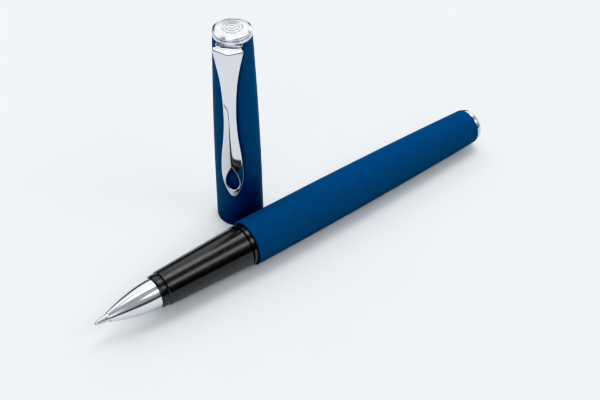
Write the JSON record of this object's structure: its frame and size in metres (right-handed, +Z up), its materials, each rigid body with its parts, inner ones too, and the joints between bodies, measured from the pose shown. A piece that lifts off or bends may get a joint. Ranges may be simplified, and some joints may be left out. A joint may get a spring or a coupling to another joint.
{
  "type": "rollerball pen",
  "caption": "Rollerball pen, uncapped: swelling metal barrel, tapered grip with a chrome nose, and an upright cap with a sprung clip.",
  "frame": {"origin": "middle of the bounding box, on the surface that the pen lies on and the cap stands on", "axes": "+X along the lying pen from its tip to its end, +Y from the pen to the cap, +Z up"},
  "size_m": [0.122, 0.0282, 0.0589],
  "materials": {
    "matt_blue_paint": "matt, fine soft-touch grain",
    "chrome": "polished",
    "gloss_black": "glossy, moulded",
    "brass": "machined",
    "steel": "plain",
    "nickel_silver": "turned",
    "carbide": "polished",
    "dark_plastic": "moulded",
    "refill_plastic": "extruded",
    "ink_fibre": "felted fibre, soaked with ink"
  },
  "bodies": {
    "barrel": {"barrel_tube": "matt_blue_paint", "barrel_thread_insert": "brass", "barrel_end_plug": "brass", "barrel_end_cap": "chrome", "refill_spring": "steel"},
    "trim_ring": {"section_collar": "gloss_black"},
    "section": {"grip_section": "gloss_black", "nose_cone": "chrome", "section_sleeve": "brass"},
    "refill": {"refill_tube": "refill_plastic", "refill_stem": "dark_plastic", "refill_tip": "nickel_silver", "refill_end_plug": "dark_plastic", "ink_reservoir": "ink_fibre", "ink_feed": "ink_fibre"},
    "ball": {"tip_ball": "carbide"},
    "cap": {"cap_shell": "matt_blue_paint", "cap_liner": "dark_plastic", "cap_clutch_ring": "steel", "cap_top_bush": "brass", "finial_base": "chrome", "finial_disc": "chrome", "finial_stud": "steel"},
    "clip": {"clip": "chrome"}
  },
  "joints": [
    {"name": "section_advance", "type": "slide", "parent": "barrel", "child": "trim_ring", "axis": [-1, 0, 0.0093], "range_m": [0, 0.0055]},
    {"name": "section_turn", "type": "hinge", "parent": "trim_ring", "child": "section", "pos_m": [-0.017, -0.00808, 0.00616], "axis": [-1, 0, 0.0093], "range_deg": [0, 1980.5]},
    {"name": "refill_press", "type": "slide", "parent": "trim_ring", "child": "refill", "axis": [1, 0, -0.0093], "range_m": [0, 0.0012], "stiffness_N_per_m": 200, "springref_m": -0.003, "deforming": ["refill_spring"]},
    {"name": "ball_roll", "type": "hinge", "parent": "refill", "child": "ball", "pos_m": [-0.06065, -0.00808, 0.00657], "axis": [0, 1, 0], "continuous": true},
    {"name": "cap_lift", "type": "slide", "parent": "barrel", "child": "cap", "axis": [0, 0, 1], "range_m": [0, 0.08]},
    {"name": "clip_flex", "type": "hinge", "parent": "cap", "child": "clip", "pos_m": [-0.01078, 0.0049, 0.05665], "axis": [-0.6794, 0.7337, 0], "range_deg": [0, 3.5], "stiffness_Nm_per_rad": 0.5}
  ],
  "couplings": [
    {"joint": "section_turn", "follows": "section_advance", "rad_per_m": 6283.2}
  ]
}
